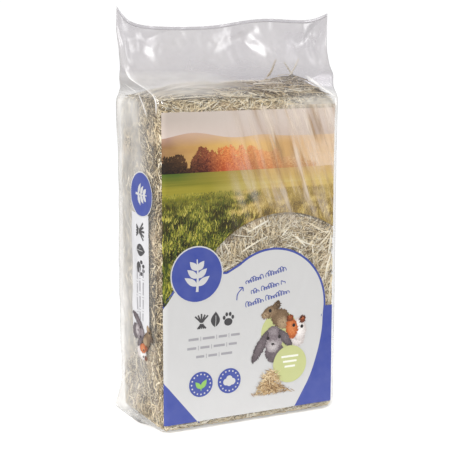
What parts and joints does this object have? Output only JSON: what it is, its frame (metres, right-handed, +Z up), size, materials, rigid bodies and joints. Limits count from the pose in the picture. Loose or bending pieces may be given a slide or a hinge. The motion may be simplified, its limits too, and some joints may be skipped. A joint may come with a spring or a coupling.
{
  "type": "wrapped small hay bale",
  "caption": "Small square bale of pressed meadow hay, standing on end in a clear film bag whose flat fused tail rises above the crown.",
  "frame": {"origin": "middle of the flat base, on the surface that the bale stands on", "axes": "+Z up along the bale's longest side to the film tail, -Y out of the printed front, +X to the right as the printed front is faced"},
  "size_m": [0.254, 0.114, 0.4364],
  "materials": {
    "hay": "matt dry grass",
    "straw": "satin straw",
    "leaf": "matt dry leaf",
    "seed": "matt seed husk",
    "film": "clear gloss film",
    "weld": "fused film"
  },
  "bodies": {
    "root": {"hay_block": "hay", "film_bag": "film", "top_weld": "weld", "loose_stalk_01": "straw", "loose_stalk_02": "straw", "loose_stalk_03": "straw", "loose_stalk_04": "straw", "loose_stalk_05": "straw", "loose_stalk_06": "straw", "loose_stalk_07": "straw", "leaf_blade_01": "leaf", "leaf_blade_02": "leaf", "leaf_blade_03": "leaf", "seed_head_01": "seed", "seed_head_02": "seed"}
  },
  "joints": []
}
